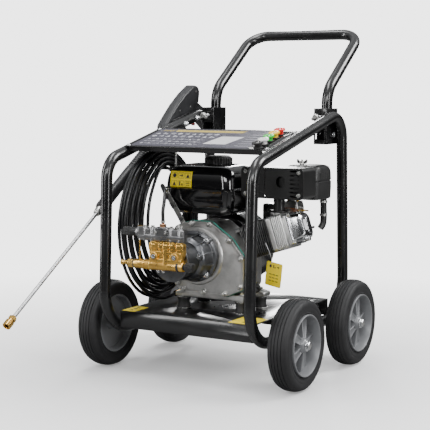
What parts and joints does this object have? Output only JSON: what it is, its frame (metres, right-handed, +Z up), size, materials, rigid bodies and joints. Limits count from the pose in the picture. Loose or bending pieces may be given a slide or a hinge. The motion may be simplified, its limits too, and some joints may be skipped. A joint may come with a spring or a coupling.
{
  "type": "pressure washer",
  "caption": "Petrol engine pressure washer on a four-wheel tube-frame cart, with pump, hose coil, stored spray gun and a row of colour-coded nozzles.",
  "frame": {"origin": "centre of the footprint on the ground", "axes": "+Z up, +Y from the pump end towards the handle, +X towards the side the cylinder points to"},
  "size_m": [0.6848, 1.1802, 0.9883],
  "materials": {
    "gloss_black_paint": "high gloss black powder coat",
    "nozzle_black": "satin",
    "nozzle_white": "satin",
    "nozzle_green": "satin",
    "nozzle_yellow": "satin",
    "nozzle_red": "satin",
    "zinc_steel": "bright zinc plate",
    "chrome_steel": "polished plate",
    "black_rubber": "matte",
    "tyre": "matte ribbed tread",
    "rim_grey": "moulded, satin",
    "cast_aluminium": "as cast with machined faces",
    "pressed_steel": "pressed, plated",
    "black_plastic": "moulded, satin",
    "heat_black_paint": "matte heat-proof paint",
    "switch_red": "moulded",
    "pump_aluminium": "die cast, tumbled",
    "brass": "forged and machined",
    "gun_grey": "fine textured moulding",
    "trigger_red": "moulded",
    "hose_black": "smooth glossy cover"
  },
  "bodies": {
    "cart": {"hoop_left": "gloss_black_paint", "hoop_right": "gloss_black_paint", "base_deck": "gloss_black_paint", "top_panel": "gloss_black_paint", "hose_hook": "gloss_black_paint", "bracket_left": "gloss_black_paint", "bracket_right": "gloss_black_paint", "frame_bolts": "chrome_steel", "gun_holder": "gloss_black_paint", "axle_front": "zinc_steel", "axle_rear": "zinc_steel", "axle_nuts": "chrome_steel", "rubber_mounts": "black_rubber", "crankcase": "cast_aluminium", "side_cover": "cast_aluminium", "cylinder_head": "cast_aluminium", "rocker_cover": "pressed_steel", "spark_plug": "black_rubber", "fuel_tank": "gloss_black_paint", "muffler": "heat_black_paint", "muffler_guard": "heat_black_paint", "air_cleaner": "black_plastic", "carburettor": "cast_aluminium", "fan_housing": "gloss_black_paint", "recoil_cover": "gloss_black_paint", "pump_body": "pump_aluminium", "pump_head": "brass", "pump_manifold": "pump_aluminium", "relief_hose": "black_rubber", "hose_coil": "hose_black", "hose_fitting": "brass"},
    "wheel_fl": {"tyre_fl": "tyre", "rim_fl": "rim_grey"},
    "wheel_fr": {"tyre_fr": "tyre", "rim_fr": "rim_grey"},
    "wheel_rl": {"tyre_rl": "tyre", "rim_rl": "rim_grey"},
    "wheel_rr": {"tyre_rr": "tyre", "rim_rr": "rim_grey"},
    "handle": {"handle": "gloss_black_paint"},
    "lock_knob_left": {"lock_knob_left": "zinc_steel"},
    "lock_knob_right": {"lock_knob_right": "zinc_steel"},
    "nozzle_black": {"nozzle_black": "nozzle_black"},
    "nozzle_white": {"nozzle_white": "nozzle_white"},
    "nozzle_green": {"nozzle_green": "nozzle_green"},
    "nozzle_yellow": {"nozzle_yellow": "nozzle_yellow"},
    "nozzle_red": {"nozzle_red": "nozzle_red"},
    "fuel_cap": {"fuel_cap": "black_plastic"},
    "air_wing_nut": {"air_wing_nut": "zinc_steel"},
    "throttle_lever": {"throttle_lever": "black_plastic"},
    "starter_grip": {"starter_grip": "black_plastic"},
    "crankshaft": {"crankshaft": "zinc_steel"},
    "dipstick": {"dipstick": "black_plastic"},
    "engine_switch": {"engine_switch": "switch_red"},
    "inlet_cap": {"inlet_cap": "black_plastic"},
    "unloader_knob": {"unloader_knob": "black_plastic"},
    "gun": {"gun_body": "gun_grey", "lance": "zinc_steel"},
    "trigger": {"trigger": "trigger_red"},
    "coupler_collar": {"coupler_collar": "brass"}
  },
  "joints": [
    {"name": "wheel_spin_fl", "type": "hinge", "parent": "cart", "child": "wheel_fl", "pos_m": [-0.3024, -0.08614, 0.125], "axis": [1, 0, 0], "continuous": true},
    {"name": "wheel_spin_fr", "type": "hinge", "parent": "cart", "child": "wheel_fr", "pos_m": [0.3024, -0.08614, 0.125], "axis": [1, 0, 0], "continuous": true},
    {"name": "wheel_spin_rl", "type": "hinge", "parent": "cart", "child": "wheel_rl", "pos_m": [-0.3024, 0.27446, 0.125], "axis": [1, 0, 0], "continuous": true},
    {"name": "wheel_spin_rr", "type": "hinge", "parent": "cart", "child": "wheel_rr", "pos_m": [0.3024, 0.27446, 0.125], "axis": [1, 0, 0], "continuous": true},
    {"name": "handle_fold", "type": "hinge", "parent": "cart", "child": "handle", "pos_m": [0, 0.33396, 0.668], "axis": [1, 0, 0], "range_deg": [-125, 0]},
    {"name": "knob_turn_left", "type": "hinge", "parent": "cart", "child": "lock_knob_left", "pos_m": [-0.1896, 0.29416, 0.721], "axis": [0, 1, 0], "range_deg": [0, 720]},
    {"name": "knob_turn_right", "type": "hinge", "parent": "cart", "child": "lock_knob_right", "pos_m": [0.1896, 0.29416, 0.721], "axis": [0, 1, 0], "range_deg": [0, 720]},
    {"name": "nozzle_lift_black", "type": "slide", "parent": "cart", "child": "nozzle_black", "axis": [0, -0.2344, 0.9721], "range_m": [0, 0.05]},
    {"name": "nozzle_lift_white", "type": "slide", "parent": "cart", "child": "nozzle_white", "axis": [0, -0.2344, 0.9721], "range_m": [0, 0.05]},
    {"name": "nozzle_lift_green", "type": "slide", "parent": "cart", "child": "nozzle_green", "axis": [0, -0.2344, 0.9721], "range_m": [0, 0.05]},
    {"name": "nozzle_lift_yellow", "type": "slide", "parent": "cart", "child": "nozzle_yellow", "axis": [0, -0.2344, 0.9721], "range_m": [0, 0.05]},
    {"name": "nozzle_lift_red", "type": "slide", "parent": "cart", "child": "nozzle_red", "axis": [0, -0.2344, 0.9721], "range_m": [0, 0.05]},
    {"name": "fuel_cap_turn", "type": "hinge", "parent": "cart", "child": "fuel_cap", "pos_m": [-0.025, 0.06416, 0.59], "axis": [0, 0, 1], "range_deg": [0, 90]},
    {"name": "wing_nut_turn", "type": "hinge", "parent": "cart", "child": "air_wing_nut", "pos_m": [0.196, 0.15616, 0.592], "axis": [0, 0, 1], "range_deg": [0, 720]},
    {"name": "throttle_turn", "type": "hinge", "parent": "cart", "child": "throttle_lever", "pos_m": [0.118, 0.17816, 0.472], "axis": [0, 0, 1], "range_deg": [-20, 35]},
    {"name": "starter_pull", "type": "slide", "parent": "cart", "child": "starter_grip", "axis": [0, 1, 0], "range_m": [0, 0.5]},
    {"name": "crank_spin", "type": "hinge", "parent": "cart", "child": "crankshaft", "pos_m": [-0.025, 0.09416, 0.336], "axis": [0, 1, 0], "continuous": true},
    {"name": "dipstick_turn", "type": "hinge", "parent": "cart", "child": "dipstick", "pos_m": [0.122, -0.01784, 0.244], "axis": [0.8829, 0, 0.4695], "range_deg": [0, 720]},
    {"name": "switch_rock", "type": "hinge", "parent": "cart", "child": "engine_switch", "pos_m": [-0.137, 0.17016, 0.338], "axis": [0, 1, 0], "range_deg": [-12, 12]},
    {"name": "inlet_cap_turn", "type": "hinge", "parent": "cart", "child": "inlet_cap", "pos_m": [-0.146, -0.20584, 0.413], "axis": [1, 0, 0], "range_deg": [0, 360]},
    {"name": "unloader_turn", "type": "hinge", "parent": "cart", "child": "unloader_knob", "pos_m": [0.045, -0.21084, 0.327], "axis": [1, 0, 0], "range_deg": [0, 1080]},
    {"name": "gun_lift", "type": "slide", "parent": "cart", "child": "gun", "axis": [0, 0, 1], "range_m": [0, 0.15]},
    {"name": "trigger_squeeze", "type": "hinge", "parent": "gun", "child": "trigger", "pos_m": [-0.271, 0.27599, 0.72853], "axis": [1, 0, 0], "range_deg": [0, 9], "stiffness_Nm_per_rad": 0.9, "springref_deg": -11.46},
    {"name": "collar_slide", "type": "slide", "parent": "gun", "child": "coupler_collar", "axis": [0, 0.8406, 0.5417], "range_m": [0, 0.003], "stiffness_N_per_m": 900, "springref_m": -0.004}
  ]
}
